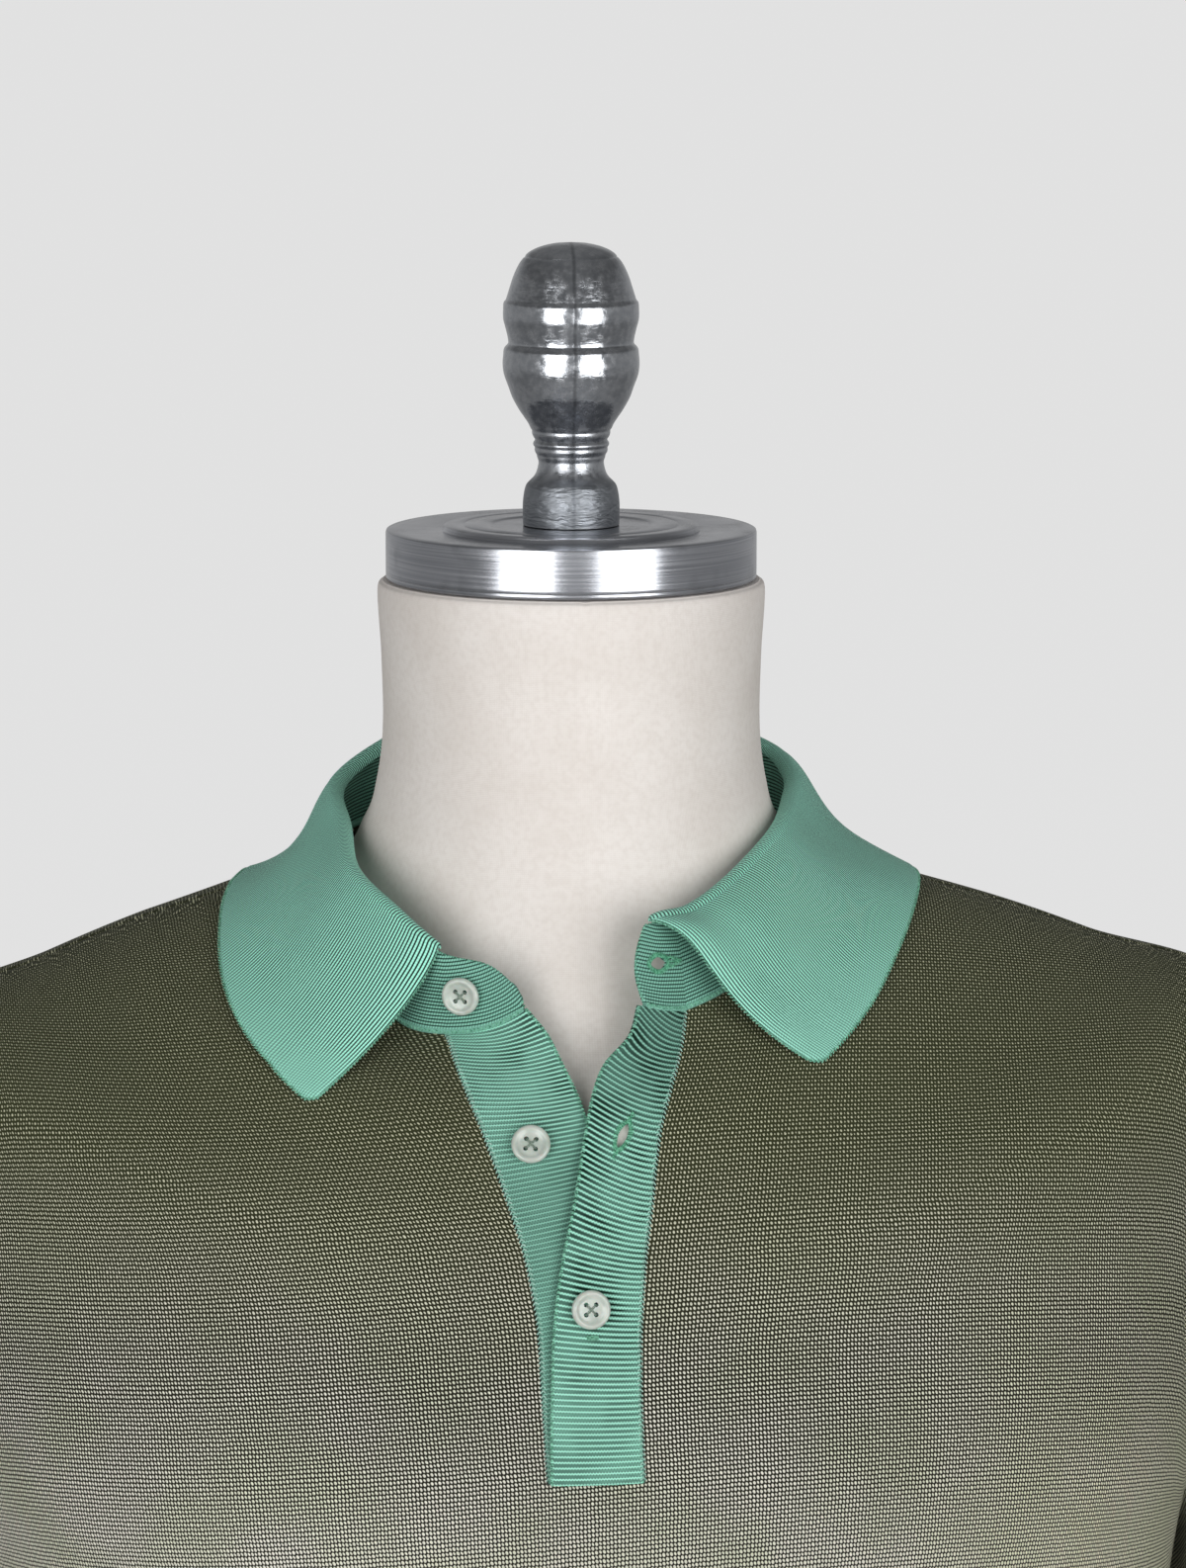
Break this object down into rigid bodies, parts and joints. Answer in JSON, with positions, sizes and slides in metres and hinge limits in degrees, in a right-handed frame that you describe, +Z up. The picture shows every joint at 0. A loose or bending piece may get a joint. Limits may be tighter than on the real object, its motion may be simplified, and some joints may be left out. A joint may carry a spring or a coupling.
{
  "type": "polo shirt on a limbless dress form",
  "caption": "Short-sleeved knitted polo shirt with a ribbed placket and a soft turned-down collar, worn open at the neck by a limbless cloth form with a metal neck cap and finial.",
  "frame": {"origin": "middle of the form's flat underside, on the surface it stands on", "axes": "+Z up along the neck, -Y the front of the shirt, +X the wearer's left"},
  "size_m": [0.548, 0.2565, 0.9719],
  "materials": {
    "canvas": "matte",
    "cap_metal": "brushed",
    "finial_metal": "polished casting",
    "olive_knit": "two-tone piqué knit",
    "green_knit": "fine flat knit",
    "green_rib": "ribbed knit",
    "shell": "polished shell"
  },
  "bodies": {
    "root": {"form_torso": "canvas", "form_cap": "cap_metal", "form_finial": "finial_metal", "shirt_front": "olive_knit", "shirt_back": "olive_knit", "sleeve_left": "olive_knit", "sleeve_right": "olive_knit", "band_under": "green_rib", "band_over": "green_rib", "collar_stand": "green_knit", "collar_leaf": "green_knit", "button_1": "shell", "button_2": "shell", "button_3": "shell"}
  },
  "joints": []
}
